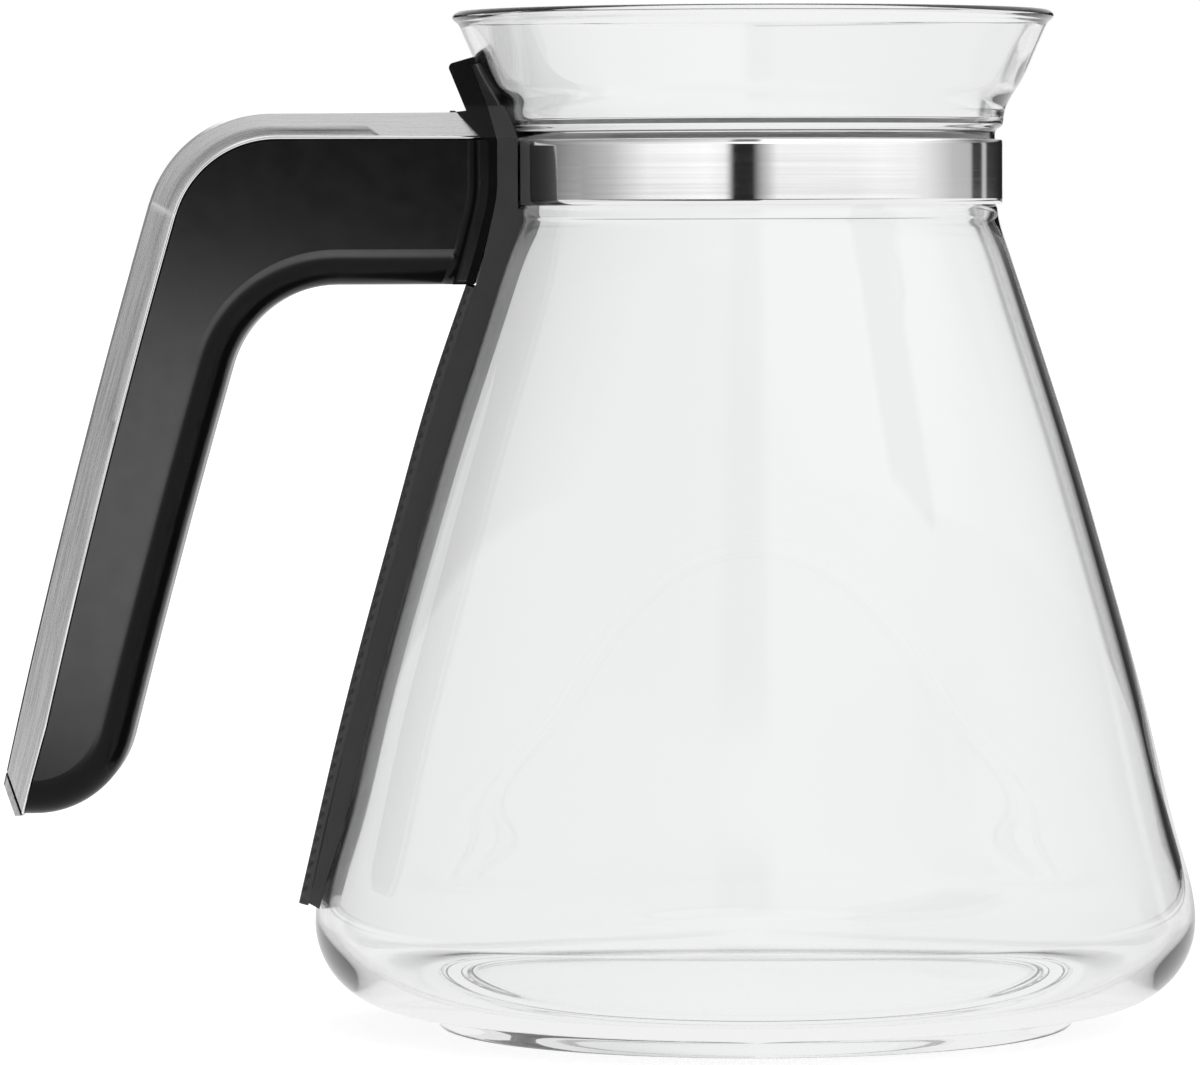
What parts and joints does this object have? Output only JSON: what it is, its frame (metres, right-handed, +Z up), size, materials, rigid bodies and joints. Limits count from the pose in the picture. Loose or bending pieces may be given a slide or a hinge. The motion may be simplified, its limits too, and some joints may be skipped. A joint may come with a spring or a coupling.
{
  "type": "glass coffee carafe",
  "caption": "Clear glass coffee carafe with flared mouth, polished neck band, and an open black handle with satin metal trim on a spine that hugs the glass.",
  "frame": {"origin": "on the vessel's axis, in the plane that the foot ring rests on", "axes": "+Z up along the vessel's axis, +X from the handle towards the pouring side, +Y across"},
  "size_m": [0.2028, 0.1504, 0.173],
  "materials": {
    "glass": "clear blown glass, fire-polished",
    "polished_steel": "mirror-polished stainless steel",
    "clear_liner": "thin soft liner",
    "zinc_steel": "zinc-plated steel",
    "spine_plastic": "dark grey moulded plastic",
    "grip_plastic": "black fine-grained moulded plastic",
    "pad_rubber": "dimpled dark rubber",
    "soft_rubber": "soft silicone",
    "core_metal": "die-cast, as cast",
    "carrier_plastic": "black moulded plastic",
    "satin_steel": "satin stainless steel with bright edges"
  },
  "bodies": {
    "root": {"glass_vessel": "glass", "neck_band": "polished_steel", "band_liner": "clear_liner", "band_yoke": "zinc_steel", "yoke_pin": "zinc_steel", "clamp_screw": "zinc_steel", "clamp_washer": "zinc_steel", "spine_backing": "spine_plastic", "spine_cover": "grip_plastic", "cover_screws": "zinc_steel", "knuckle_pad": "pad_rubber", "upper_bumpers": "soft_rubber", "lower_bumpers": "soft_rubber", "grip_shell": "grip_plastic", "grip_core": "core_metal", "core_screws": "zinc_steel", "trim_carrier": "carrier_plastic", "carrier_screws": "zinc_steel", "back_trim": "satin_steel", "trim_end_cap": "satin_steel"}
  },
  "joints": []
}
